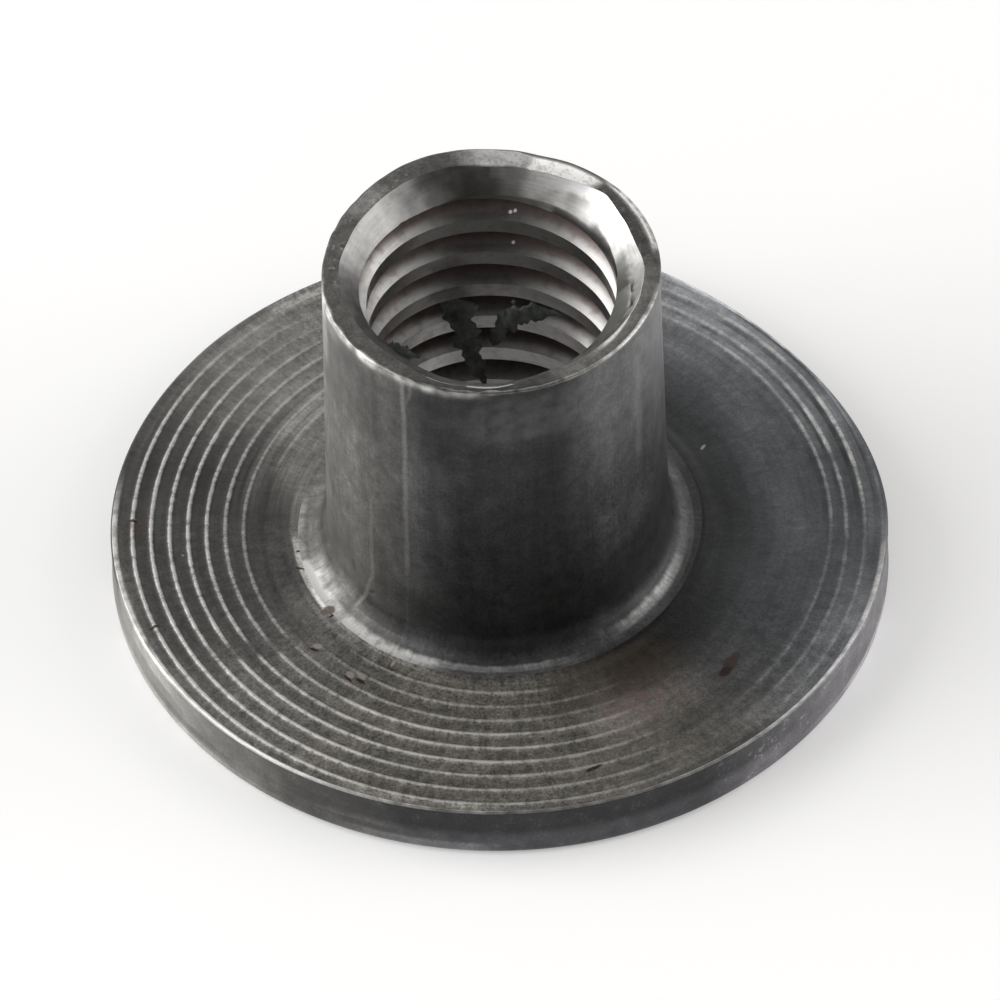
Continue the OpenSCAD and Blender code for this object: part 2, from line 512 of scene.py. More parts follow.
def ribbon(start, bend, end, widths, thickness, twist):
    """A thin tapered chip along a quadratic curve through bend: a flat oval
    section with torn edges, carried along it and turned by twist from end to
    end. widths are the widths at the start, the bend and the end."""
    start, bend, end = (np.array(point) for point in (start, bend, end))
    t = np.linspace(0.0, 1.0, CHIP_STEPS)[:, None]
    ends = np.minimum(1.0, np.minimum(t, 1 - t) * 30)
    control = 2 * bend - (start + end) / 2
    path = start * (1 - t) ** 2 + 2 * control * t * (1 - t) + end * t ** 2
    along = 2 * (control - start) * (1 - t) + 2 * (end - control) * t
    along /= np.linalg.norm(along, axis=1, keepdims=True)
    side = np.cross(along, CHIP_FACING)
    side /= np.linalg.norm(side, axis=1, keepdims=True)
    lift = np.cross(side, along)
    turn = twist * (t - 0.5)
    first, middle, last = widths
    width = first * (1 - t) * (1 - 2 * t) + 4 * middle * t * (1 - t) + last * t * (2 * t - 1)
    width = np.maximum(width * (1.0 + 0.14 * np.sin(19 * t)), 0.0)
    phi = np.linspace(0.0, TURN, CHIP_SIDES, endpoint=False)[None, :]
    torn = 0.16 * np.sin(31 * t + 2 * np.cos(phi)) + 0.12 * np.sin(67 * t + 3 * np.cos(phi))
    u = width / 2 * np.cos(phi) * (1.0 + torn) * ends
    v = thickness / 2 * np.sin(phi) * ends
    across = (u * np.cos(turn) - v * np.sin(turn))[..., None] * side[:, None, :]
    above = (u * np.sin(turn) + v * np.cos(turn))[..., None] * lift[:, None, :]
    return (path[:, None, :] + across + above).transpose(1, 0, 2)


def new_object(name, data):
    """An object in the scene that shows a mesh, a lamp or a camera."""
    made = bpy.data.objects.new(name, data)
    bpy.context.scene.collection.objects.link(made)
    return made


def build_mesh(name, points, faces, materials, slots, masks):
    """A mesh object at the origin, with its doubles merged and its faces turned
    outwards. masks holds an array of one value a point under each name."""
    mesh = bpy.data.meshes.new(name)
    mesh.from_pydata(points.reshape(-1, 3).tolist(), [], faces.tolist())
    for material in materials:
        mesh.materials.append(material)
    mesh.polygons.foreach_set("material_index", slots.astype(np.int32))
    for key, values in masks.items():
        mesh.attributes.new(key, "FLOAT", "POINT").data.foreach_set("value", values.ravel())
    work = bmesh.new()
    work.from_mesh(mesh)
    bmesh.ops.remove_doubles(work, verts=work.verts, dist=SAME_POINT)
    bmesh.ops.dissolve_degenerate(work, edges=work.edges, dist=SAME_POINT)
    bmesh.ops.recalc_face_normals(work, faces=work.faces)
    work.to_mesh(mesh)
    work.free()
    mesh.polygons.foreach_set("use_smooth", np.ones(len(mesh.polygons), bool))
    mesh.set_sharp_from_angle(angle=SHARP_EDGE)
    mesh.update()
    return new_object(name, mesh)


# ---------------------------------------------------------------- finishes

class Value:
    """A number that varies over a surface: operators on it add Math nodes."""

    def __init__(self, nodes, socket):
        self.nodes = nodes
        self.socket = socket

    def math(self, operation, *others):
        settings = {"operation": operation}
        return self.nodes.node("Math", settings, dict(enumerate([self, *others])))

    def __add__(self, other):
        return self.math("ADD", other)

    def __sub__(self, other):
        return self.math("SUBTRACT", other)

    def __mul__(self, other):
        return self.math("MULTIPLY", other)

    def __truediv__(self, other):
        return self.math("DIVIDE", other)

    def __rsub__(self, other):
        return self.math("MULTIPLY_ADD", -1.0, other)

    def __abs__(self):
        return self.math("ABSOLUTE")

    def __or__(self, other):
        return self.math("MAXIMUM", other)

    __radd__ = __add__
    __rmul__ = __mul__


def cos_sin(degrees):
    """Cosine and sine of an angle in degrees."""
    return math.cos(math.radians(degrees)), math.sin(math.radians(degrees))


def summed(values):
    """The sum of some values that vary."""
    return reduce(Value.__add__, values)


def highest(values):
    """The largest of some values that vary."""
    return reduce(Value.__or__, values)


class Nodes:
    """The nodes of a material or a world, emptied and built up again."""

    def __init__(self, owner):
        owner.use_nodes = True
        self.tree = owner.node_tree
        self.tree.nodes.clear()

    def node(self, kind, settings, inputs, output=0):
        """Adds a shader node of a kind: its settings first, then the values or
        links of its sockets, by name or number. Returns one of its outputs, if
        any."""
        made = self.tree.nodes.new(f"ShaderNode{kind}")
        for key, value in settings.items():
            setattr(made, key, value)
        for key, value in inputs.items():
            if isinstance(value, Value):
                self.tree.links.new(value.socket, made.inputs[key])
            else:
                made.inputs[key].default_value = value
        return None if output is None else Value(self, made.outputs[output])

    def step(self, value, low, high):
        """0 where value is below low, 1 above high, smooth between."""
        return self.node(
            "MapRange", {"interpolation_type": "SMOOTHSTEP"},
            {"Value": value, "From Min": low, "From Max": high},
        )

    def near(self, away, reach, end):
        """1 where away is within reach of 0 on either side, 0 past end."""
        return 1.0 - self.step(abs(away), reach, end)

    def band(self, value, low, high, fade):
        """1 between low and high, fading to 0 over fade outside them."""
        return self.step(value, low - fade, low) * (1.0 - self.step(value, high, high + fade))


class Finish(Nodes):
    """A node-based finish, built up by expressions. Lengths are in millimetres."""

    def __init__(self, name):
        self.material = bpy.data.materials.new(name)
        super().__init__(self.material)
        self.place = self.node("TexCoord", {}, {}, "Object")
        parts = [self.node("SeparateXYZ", {}, {0: self.place}, k) for k in range(3)]
        self.x, self.y, self.z = (part / MM for part in parts)
        self.radius = (self.x * self.x + self.y * self.y).math("SQRT")
        self.dx = self.x / self.radius
        self.dy = self.y / self.radius

    def arc(self, middle, half, fade):
        """1 within half degrees of middle round the axis, 0 past half + fade."""
        c, s = cos_sin(middle)
        return self.step(self.dx * c + self.dy * s, cos_sin(half + fade)[0], cos_sin(half)[0])

    def arcs(self, *arcs):
        """The sum of some arcs, each given by its middle, its half width and
        its fade in degrees, and its height."""
        return summed(self.arc(*where) * height for *where, height in arcs)

    def patched(self, level, over, patches):
        """A level made lighter or darker in soft patches. Each is given by its
        middle, half width and fade in degrees, its span and fade over another
        value, and the change at its heart."""
        for middle, half, fade, low, high, soft, change in patches:
            patch = self.arc(middle, half, fade) * self.band(over, low, high, soft)
            level = level * (patch * change + 1.0)
        return level

    def attribute(self, name):
        """A value that the mesh holds at its points."""
        return self.node("Attribute", {"attribute_name": name}, {}, 2)

    def vector(self, x, y, z):
        """A vector of three values, of which any may vary."""
        return self.node("CombineXYZ", {}, {0: x, 1: y, 2: z})

    def noise(self, vector, scale, detail=2, roughness=0.55):
        """Noise around 0.5 over a vector."""
        return self.node("TexNoise", {}, {
            "Vector": vector, "Scale": scale, "Detail": detail, "Roughness": roughness,
        })

    def grain(self, size, detail=2):
        """Noise with features of about size mm, around 0.5."""
        return self.noise(self.place, 1.0 / (size * MM), detail)

    def clouds(self, size, detail=2, low=0.35, high=0.65):
        """Soft patches of about size mm, from 0 to 1."""
        return self.step(self.grain(size, detail), low, high)

    def streaks(self, width, long, bend=0.0):
        """Noise drawn out away from the axis and up it: lines width mm wide at
        5 mm from the axis and about long mm long, bent by bend mm."""
        turns = 5 / width
        lean = (self.grain(1.5, 1.0) - 0.5) * (bend / width)
        rise = (self.z + self.radius) / long
        return self.noise(self.vector(self.dx * turns + lean, self.dy * turns + lean, rise), 1.0)

    def circles(self, radius, pitch):
        """Noise drawn out round the axis: turned lines pitch mm apart."""
        return self.noise(self.vector(self.dx * 2, self.dy * 2, radius / pitch), 1.0)

    def on_face(self, angle, radius):
        """Millimetres along and across from a spot on a level face."""
        c, s = cos_sin(angle)
        return self.y * c - self.x * s, self.x * c + self.y * s - radius

    def on_wall(self, angle, height):
        """Millimetres along and up from a spot on the barrel's wall."""
        c, s = cos_sin(angle)
        behind = 1.0 - self.step(self.x * c + self.y * s, 0.0, 0.1)
        return self.y * c - self.x * s + behind * 100, self.z - height

    def blot(self, spot, long, wide, turn, ragged):
        """A ragged oval at a spot, long x wide mm in half size, turned by
        degrees from the direction of growing angle."""
        along, across = spot
        c, s = cos_sin(turn)
        u = (along * c + across * s) / long
        v = (across * c - along * s) / wide
        far = (u * u + v * v).math("SQRT") + (self.grain(0.25) - 0.5) * (ragged * 2)
        return 1.0 - self.step(far, 0.6, 1.1)

    def blots(self, place, ragged, *places):
        """Some blots together, equally ragged. place is on_face or on_wall, and
        each blot is given by the two numbers that place takes, then its half
        length, half width and turn."""
        return highest(self.blot(place(*at), long, wide, turn, ragged) for *at, long, wide, turn in places)

    def mix(self, share, first, second):
        """A colour between first and second."""
        colours = {
            key: value if isinstance(value, Value) else (*value, 1.0)
            for key, value in ((6, first), (7, second))
        }
        return self.node("Mix", {"data_type": "RGBA"}, {0: share, **colours}, 2)

    def level(self, tone, factor):
        """A colour made lighter or darker by a factor that varies."""
        inputs = {0: tone if isinstance(tone, Value) else tuple(tone), "Scale": factor}
        return self.node("VectorMath", {"operation": "SCALE"}, inputs)

    def steel(self, base, roughness, height, depth, metallic=1.0):
        """Ends the material: a metal with a bump of depth mm."""
        normal = self.node("Bump", {}, {
            "Height": height, "Strength": 1.0, "Distance": depth * MM,
        })
        shader = self.node("BsdfPrincipled", {}, {
            "Base Color": base, "Roughness": roughness, "Metallic": metallic, "Normal": normal,
        })
        self.node("OutputMaterial", {}, {"Surface": shader}, None)
        return self.material


def tinted(rgb, factor):
    """A colour made darker or lighter."""
    return tuple(channel * factor for channel in rgb)


def face_finish(shape, colours):
    """The flange's face: dark oiled steel with a fine radial hair, marked by
    stains, pits and scratches, with painted light and shade: lighter at the
    left front, a painted dark reflection on the smoother steel at the right
    inside, painted highlights along the rings' crests and painted shade
    inside the rings at the right."""
    f = Finish("face_steel")
    c, s = math.cos(shape.ring_turn), math.sin(shape.ring_turn)
    across = f.dx * c + f.dy * s
    rho = f.radius + (across * across * 2 - 1.0) * (shape.ring_oval / MM)
    pitch = shape.ring_pitch / MM
    fine = f.grain(0.07)
    coarse = f.grain(0.22, 3)
    bead = f.streaks(0.12, 0.5)
    broad = f.grain(1.0)
    rho = rho - f.arc(*SHIFT_ARC) * (1.0 - f.step(rho, *SHIFT_END)) * RING_SHIFT
    place = (rho + (broad - 0.5) * 0.03 - shape.ring_first_r / MM) / pitch
    offset = (place - place.math("ROUND")) * pitch
    wear = f.attribute("worn")
    # Painted highlight along each ring's crest, as far as the ring stands, and a softer painted sheen round
    # it
    thin = bead * 0.03 + coarse * 0.04 - 0.02
    crest = (1.0 - f.step(abs(offset) - thin, 0.0, 0.06)) * wear
    halo = f.near(offset, 0.04, 0.2) * wear
    lines = f.circles(rho, 0.1)
    arcs = f.circles(rho, 0.35)

    # Painted light and shade: the right inside is painted darker, a painted reflection on its smoother
    # steel, and the left front lighter, as the left lamp lights it
    right = f.arc(0.0, 54, 26)
    inside = f.band(rho, 5.2, 8.4, 0.8)
    dark_reflection = right * inside * (1.0 - f.step(rho, 6.2, 8.3) * 0.45)
    level = f.arc(236, 52, 26) * 0.55 + 1.0 - dark_reflection * 0.66
    # Painted light and shade in patches round the face and along the fillet's foot
    level = f.patched(level, rho, (
        (126, 16, 24, 7.5, 10.4, 1.5, 1), (177, 18, 22, 6.6, 9.9, 0.4, -0.6),
        (181, 13, 12, 5.75, 6.4, 0.2, -0.55), (318, 12, 16, 5.4, 6.4, 0.6, -0.35),
        (301, 5, 12, 6.2, 7.8, 0.7, 0.9), (25, 22, 30, 7.4, 7.9, 1.1, 0.75),
        (330, 10, 14, 9.6, 10.2, 0.3, 0.5), (60, 14, 14, 8.2, 10.4, 0.6, 0.5),
        (232, 24, 16, 8.2, 10.2, 0.5, -0.15), (222, 12, 12, 6, 8, 0.5, -0.25),
        (150, 12, 12, 5.5, 6.8, 0.4, 0.9), (42, 14, 14, 8.9, 10.4, 0.4, 0.7),
        (272, 16, 14, 5.3, 5.5, 0.12, -0.2), (197, 9, 9, 5.4, 5.6, 0.06, 3),
        (226, 18, 10, 5.4, 5.56, 0.06, 1), (0, 14, 14, 5.3, 5.5, 0.1, -0.5),
    ))
    # Painted highlights and shade along the face's outer band
    level = f.patched(level, rho, [(*around, 10.04, 10.4, 0.08, change) for *around, change in (
        (256, 7, 8, 0.7), (342, 3, 5, 0.4), (12, 12, 8, 0.45), (56, 8, 6, 0.25),
        (118, 4, 6, 0.8), (166, 16, 10, -0.3), (304, 6, 8, -0.35),
    )])
    noise = (fine * 1.5 + 0.25) * (coarse * 0.9 + 0.55) * (lines * 0.5 + 0.75) * (bead * 0.8 + 0.6)
    rougher = f.arcs((250, 22, 24, 0.5), (150, 16, 14, -0.5), (20, 30, 20, -0.35))
    level = level * ((noise - 1.0) * (rougher + 1.0) + 1.0)
    level = level * (broad * 0.7 + 0.65) * (arcs * 0.8 + 0.6) * (halo * 0.3 + 0.95)
    scratched = (f.grain(0.13, 3) + f.streaks(0.06, 0.6) - 1.0) * f.arc(136, 18, 20)
    level = level * (scratched * 0.7 + 1.0)
    turned = f.arc(150, 16, 16) * f.band(rho, 5.6, 7.2, 0.4)
    level = level * ((f.circles(rho, 0.11) - 0.5) * turned * 1.6 + 1.0)
    # Painted shade in the hollow just inside each ring at the right
    groove = f.band(offset, -0.2, -0.11, 0.05) * wear * f.arc(30, 34, 16)
    level = level * (1.0 - groove * 0.7)
    tone = f.mix(f.arc(274, 28, 26), colours.skin, (0.109, 0.103, 0.092))
    base = f.level(f.mix(f.arc(12, 38, 32), tone, (0.098, 0.101, 0.106)), level)
    stain = f.arc(298, 5, 16) * f.band(rho, 5.8, 6.6, 0.8) * (coarse * 1.4 - 0.1)
    base = f.mix(stain * 0.9, base, colours.stain)
    blush = f.arc(298, 4, 10) * f.band(rho, 7.1, 7.8, 0.4) * f.clouds(0.3)
    base = f.mix(blush * 0.5, base, (0.26, 0.175, 0.155))
    # The crests painted in the highlight colour
    base = f.mix(crest * (fine * 2.2 + bead * 2.2 - 1.05), base, tinted(colours.bare, 1.1))
    # Painted highlight along the outer lip, partly worn steel
    base = f.mix(f.attribute("bare") * (fine * 1.2 + 0.5), base, tinted(colours.bare, 1.7))

    mark = f.blots(f.on_face, 0.5, (320, 7.96, 0.48, 0.2, -16))
    base = f.mix(mark * 0.9, base, (0.04, 0.026, 0.022))
    # Dark blots: the three at 219.8, 231.8 and 234.6 degrees are painted shadows under the light lumps
    # beside them, the rest are dark spots; all also sink the bump
    dark = f.blots(
        f.on_face, 0.5, (317.4, 8.08, 0.24, 0.16, -14), (285, 9.1, 0.3, 0.07, -12),
        (176, 9.85, 0.06, 0.16, 10), (199, 9.85, 0.05, 0.16, -10),
        (305, 5.35, 0.2, 0.06, 40), (231.8, 6.72, 0.17, 0.06, 15),
        (234.6, 6.6, 0.17, 0.06, 10), (219.8, 6.55, 0.15, 0.06, -20),
        (213.6, 5.45, 0.04, 0.1, 0), (186.5, 5.44, 0.05, 0.1, 0), (193.2, 5.5, 0.04, 0.12, 30),
    )
    base = f.mix(dark * 0.9, base, tinted(colours.rust, 0.2))
    light = f.blots(f.on_face, 0.2, (26.6, 6.25, 0.12, 0.05, 60)) | f.blots(
        f.on_face, 0.6, (231.3, 6.57, 0.17, 0.11, 15), (234, 6.45, 0.16, 0.09, 10),
        (219.4, 6.4, 0.15, 0.1, -20), (184, 8.55, 0.05, 0.05, 0), (238.5, 5.55, 0.05, 0.2, 0),
    )
    base = f.mix(light * 0.8, base, (0.34, 0.3, 0.28))
    rust = f.blots(f.on_face, 0.8, (177, 9.7, 0.5, 0.3, 0)) * f.clouds(0.15)
    rust = rust | f.blots(f.on_face, 0.3, (211.3, 5.42, 0.19, 0.17, 0)) * 1.6
    base = f.mix(rust * 0.5, base, colours.rust)
    rough = 0.46 + (fine - 0.5) * 0.3 - right * inside * 0.08
    height = fine * 0.5 + coarse * 0.6 + lines * 0.3 + bead * 0.3 - dark * 0.8
    return f.steel(base, rough, height, 0.007, 0.6)


def barrel_finish(colours):
    """The barrel and its fillet: dark skin with drawn lines along the axis,
    lighter streaks and scuffs, painted lighter at the left, the right and the
    back as the lamps light it, and a painted highlight round the fillet."""
    f = Finish("barrel_steel")
    fine = f.grain(0.08)
    drawn = f.streaks(0.1, 3, 0.1)
    smear = f.streaks(0.5, 2.5, 0.4)
    mottle = f.grain(0.35, 3)
    broad = f.grain(0.9, 3)
    # Painted light: lighter at the left, most at mid height, at the right, at the back and over the fillet
    left = f.arcs((190, 18, 42, 0.82), (199, 38, 1.5, 0.18))
    right = f.arc(338, 24, 24)
    level = left * (f.band(f.z, 4.4, 7.8, 1.6) * 1.2 + 0.95) + f.arc(95, 35, 30) * 0.4 + 0.34
    level = level + right * (f.step(f.z, 3, 5.5) * 0.35 + f.step(f.z, 6.5, 10.2) * 0.52 + 0.2)
    level = level + f.step(f.radius, 4.66, 4.95) * 0.4
    # Painted light and shade in patches over the fillet and up the barrel
    level = f.patched(level, f.radius, (
        (205, 28, 12, 4.76, 5.02, 0.1, -0.42), (190, 12, 8, 5.1, 5.36, 0.06, -0.25),
        (325, 14, 14, 4.84, 5.02, 0.1, -0.35), (0, 18, 14, 5.3, 5.6, 0.06, -0.5),
        (228, 6, 7, 4.66, 4.84, 0.05, -0.45),
        (209, 3, 4, 4.66, 4.76, 0.05, 0.7), (272, 18, 10, 5.28, 5.45, 0.06, 1.1),
    ))
    level = f.patched(level, f.z, (
        (184, 5, 8, 9.8, 11.8, 0.9, 1), (183, 3, 5, 10.9, 11.8, 0.4, 0.7),
        (184, 5, 7, 2.8, 4.8, 0.5, 0.35), (192, 10, 8, 11.1, 11.8, 0.3, 0.6),
        (236, 4, 7, 9, 11.8, 0.8, 0.35), (278, 14, 10, 11, 11.8, 0.3, -0.3),
        (228, 6, 8, 3.5, 10.9, 0.5, -0.3), (218, 14, 10, 2.3, 3.1, 0.5, -0.3),
        (246, 3, 8, 3.9, 8.2, 0.9, 0.6), (316, 6, 8, 4.6, 5.8, 0.4, 0.3),
    ))
    level = level * (fine * 1.2 + 0.4) * (drawn * 0.3 + 0.85) * (smear * 0.7 + 0.65)
    level = level * (broad * 0.9 + 0.55) * (mottle * 0.9 + 0.55)
    base = f.level(f.mix(left, (0.103, 0.104, 0.106), colours.skin), level)
    scuff = f.band(f.z, 10.2, 11.2, 0.7) * f.arc(284, 14, 16) * (mottle * 0.9)
    base = f.mix(scuff * (smear * 0.4 + 0.1), base, (0.25, 0.245, 0.26))

    wobble = (f.grain(0.7) - 0.5) * 0.25
    along, up = f.on_wall(237.5, 10)
    stem = f.near(along + wobble * 0.5, 0.02, 0.12) * f.band(f.z, 4.8, 11.7, 1.2) * (smear * 1.2 - 0.1)
    fork = f.near(along + wobble - f.step(up, 0.3, 1.6) * 0.28, 0.0, 0.08) * f.step(f.z, 9.9, 10.6)
    along, up = f.on_wall(222, 3.2)
    curl = (0.0 - up).math("MAXIMUM", 0.0) * 0.35
    second = f.near(along + wobble + curl, 0.03, 0.12) * f.band(f.z, 2.2, 6, 0.6)
    along = f.on_wall(327, 9)[0]
    third = f.near(along + wobble, 0.05, 0.3) * f.band(f.z, 7.4, 10.6, 0.7)
    streaks = stem | fork * 0.5 | second * 0.7 | third * 0.55
    base = f.mix(streaks * (fine * 0.8 + 0.2) * 0.75, base, (0.36, 0.355, 0.34))
    spots = f.blots(f.on_wall, 0.4, (211.8, 3, 0.07, 0.26, 12), (221.5, 2.6, 0.16, 0.06, 40))
    base = f.mix(spots * 0.75, base, (0.03, 0.03, 0.028))

    # Painted highlight along the fillet, brightest at the left, broken up by mottle
    radius = f.radius + (mottle - 0.5) * 0.1 + (smear - 0.5) * 0.1
    fillet_highlight = summed(f.step(radius, low, high) * f.arcs(part) for low, high, part in (
        (5.04, 5.28, (222, 16, 20, 0.95)), (4.7, 5.36, (200, 3, 9, 0.5)), (5.16, 5.38, (182, 10, 10, 0.35)),
    ))
    fillet_highlight = fillet_highlight + f.band(radius, 5.15, 5.24, 0.08) * f.arcs((264, 14, 18, 0.32))
    fillet_highlight = fillet_highlight + f.band(radius, 4.97, 5.06, 0.13) * f.arcs((327, 8, 14, 0.3), (350, 34, 14, 0.08))
    fillet_highlight = fillet_highlight * f.step(f.radius, 4.64, 4.9) * (mottle * 2) * (drawn * 1.2 + 0.4) * (fine * 0.8 + 0.6)
    base = f.mix(fillet_highlight, base, tinted(colours.bare, 1.35))
    # Painted highlight along the barrel's corner, partly worn steel
    base = f.mix(f.attribute("bare") * (fine * 0.8 + 0.6), base, tinted(colours.bare, 1.8))
    pit = f.blots(f.on_face, 0.3, (211.3, 5.36, 0.17, 0.15, 0)) * (1.0 - f.step(f.z, 2, 2.2))
    base = f.mix(pit * 0.8, base, colours.rust)
    rough = 0.42 + (fine - 0.5) * 0.25
    return f.steel(base, rough, fine * 0.4 + drawn * 0.5 + mottle * 0.4, 0.007, 0.75)


def side_finish(colours):
    """The flange's edge: sheared steel, mottled, with light and shade painted
    round it, lighter at the left, the right and the back and along its foot
    at the front, and a painted highlight along its upper corner, partly worn."""
    f = Finish("edge_steel")
    fine = f.grain(0.08, 3)
    mottle = f.grain(0.5, 3)
    # Painted light and shade round the edge, lighter at the left, the right and the back, then in patches
    level = f.arcs((205, 9, 26, 2.2), (334, 8, 28, 1.6), (85, 45, 35, 0.5)) + 0.38
    foot, head = -1, 2  # past the edge's lower and upper end
    level = f.patched(level, f.z, (
        (280, 30, 14, foot, 0.5, 0.5, 0.9), (182, 6, 6, 0, head, 0.5, -0.3),
        (280, 30, 14, 1, head, 0.3, -0.3), (200, 16, 10, foot, 0.35, 0.15, 0.7),
        (256, 6, 8, foot, 0.35, 0.15, 1.2), (336, 10, 8, foot, 0.35, 0.15, 0.7),
        (234, 6, 8, foot, 0.6, 0.2, 0.5), (224, 3, 6, 0.7, head, 0.3, -0.3),
        (245, 4, 6, foot, head, 0.3, 0.7), (312, 8, 8, foot, head, 0.3, -0.28),
        (204, 3, 5, 1.15, head, 0.15, 0.7), (184, 3, 4, 1.15, head, 0.15, -0.6),
        (221, 12, 8, 0.4, 0.62, 0.1, -0.3), (246, 3, 6, foot, 0.6, 0.1, -0.4),
        (340, 5, 6, foot, 0.35, 0.1, 0.6),
    ))
    level = level * (mottle * 0.9 + 0.55) * (fine + 0.5)
    base = f.level(f.mix(f.arc(200, 30, 40), (0.108, 0.105, 0.113), colours.skin), level)
    chipped = f.step(f.grain(0.1, 3) + mottle * 0.8, 1.0, 1.2)
    chipped = chipped * (f.arc(330, 14, 16) * 0.35 + 0.04)
    # Painted highlights along the upper corner, partly worn, and a few worn chips
    sheen_and_rubbed = f.attribute("bare") * (fine * 0.8 + 0.5)
    base = f.mix(sheen_and_rubbed | chipped, base, tinted(colours.bare, 1.2))
    return f.steel(base, 0.42 + (fine - 0.5) * 0.25, fine * 0.5 + mottle, 0.012, 0.7)


def underside_finish(colours):
    """The flange's underside: flat dark skin with a few lighter worn patches."""
    f = Finish("underside_steel")
    fine = f.grain(0.12, 3)
    level = (f.clouds(1.8, 3) * 0.6 + 0.7) * (fine * 0.8 + 0.6)
    level = level * (f.circles(f.radius, 0.15) * 0.4 + 0.8)
    base = f.level(colours.skin, level)
    return f.steel(base, 0.45 + (fine - 0.5) * 0.2, fine, 0.008, 0.7)


def rim_finish(colours):
    """The barrel's end: dark land and worn shoulder, light speckles at the
    left, painted lighter at the left and the front right, and painted
    highlights at the back and along the corner."""
    f = Finish("rim_steel")
    fine = f.grain(0.09)
    mottle = f.grain(0.3, 3)
    # Painted light: lighter at the left and the front right
    level = f.arcs((175, 50, 30, 0.4), (327, 26, 14, 1)) + 0.72
    base = f.level(colours.skin, level * (mottle * 1.4 + 0.3) * (fine + 0.5))
    speckled = f.arcs((155, 24, 18, 1), (10, 30, 20, 0.4))
    base = f.mix(f.step(f.grain(0.14), 0.58, 0.7) * speckled * 0.45, base, tinted(colours.bare, 0.8))
    # Painted highlights at the back and along the corner, partly worn
    sheen_and_rubbed = f.attribute("bare") * (f.step(fine + mottle, 0.65, 1.2) * 0.5 + 0.6)
    base = f.mix(sheen_and_rubbed, base, tinted(colours.bare, 1.85))
    return f.steel(base, 0.36 + (fine - 0.5) * 0.2, fine * 0.5 + mottle * 0.5, 0.008, 0.85)


def bore_finish(shape, colours):
    """Countersink and thread: bright cut steel, painted lighter and darker round
    the axis and down the bore as light and shade fall, with a red-brown film
    in the roots, a painted dark green-grey shade low on the countersink and
    small painted glints."""
    f = Finish("cut_steel")
    lines = f.noise(f.vector(f.dx * 3, f.dy * 3, f.z * 16 + f.radius * 8), 1.0)
    mottle = f.grain(0.35, 3)
    level = (lines * 0.4 + 0.8) * (mottle + 0.5)
    sink_z = (TOP_Z - shape.sink_depth) / MM
    sink = f.step(f.z, sink_z - 0.08, sink_z)
    below = 1.0 - sink
    # Painted light and shade: darker at the back of the thread and on the countersink's left, lighter on
    # the thread's left
    level = level * (1.0 - f.arc(95, 34, 30) * below * 0.35)
    level = level * (1.0 - f.arc(162, 24, 20) * sink * 0.3)
    level = level * (f.arc(152, 26, 22) * below * 0.8 + 1.0)
    # Painted light and shade in patches round the countersink
    high = f.step(f.z, 11.44, 11.64)
    cone = f.arcs((23, 6, 8, 0.5), (93, 3, 8, -0.5), (4, 12, 12, -0.35))
    cone = cone + f.arc(57, 9, 9) * (high * 1.3 - 0.2) + f.arcs((86, 1, 3, 0.3)) * high
    cone = cone + f.arcs((65, 5, 8, 0.8)) * (1.0 - high)
    level = level * (cone * sink + 1.0)
    # Painted light deep in the bore: lighter below 8.5 mm, and a little darker again below 4.9 mm
    level = level * (1.5 - f.step(f.z, 5.5, 8.5) * 0.5) * (f.step(f.z, 4.5, 4.9) * 0.2 + 0.8)
    base = f.level(colours.cut, level)
    root = f.step(f.radius + (mottle - 0.5) * 0.12, 3.42, 3.7) * below * f.step(f.z, 4.1, 4.4)
    base = f.mix(root * 0.9, base, colours.root)
    film = f.step(mottle, 0.42, 0.72) * f.arc(100, 50, 30) * below
    base = f.mix(film * 0.45, base, (0.08, 0.062, 0.05))
    # Painted shade, dark green-grey, on the lower part of the countersink at the right
    low = f.z + (mottle - 0.5) * 0.4
    olive_shade = f.arc(340, 22, 16) * (1.0 - f.step(low, 11.3, 11.6)) * f.step(f.z, 10.9, 11.02)
    base = f.mix(olive_shade * 0.85, base, (0.07, 0.075, 0.062))
    # Painted glints: small white spots without metal on the bore's back wall
    glints = ((80.6, 10.28), (78.8, 10.3), (80, 9.06), (62, 7.95), (81, 6.62))
    glint = f.blots(f.on_wall, 0.5, *((*at, 0.055, 0.03, 0) for at in glints))
    base = f.mix(glint, base, (0.95, 0.96, 1.0))
    metallic = 1.0 - (root * 0.7 | glint)
    return f.steel(base, 0.26 + mottle * 0.12, lines * 0.6 + mottle * 0.4, 0.005, metallic)


def swarf_finish(colours):
    """The chips: dark blued steel with a little shine."""
    f = Finish("swarf_steel")
    fine = f.grain(0.12)
    base = f.level(colours.swarf, (fine * 1.2 + 0.4) * (f.grain(0.4) * 2))
    # Lighter cloudy patches, a painted sheen
    base = f.mix(f.clouds(0.3, 2, 0.58, 0.72) * 0.3, base, (0.16, 0.165, 0.15))
    return f.steel(base, 0.4 + (fine - 0.5) * 0.3, fine, 0.01, 0.55)


# ---------------------------------------------------------------- operators

def mounted(piece):
    """Fixes a piece to the part, as the steel that replaces the plain node."""
    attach(piece, "root")
    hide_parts("tee_nut")


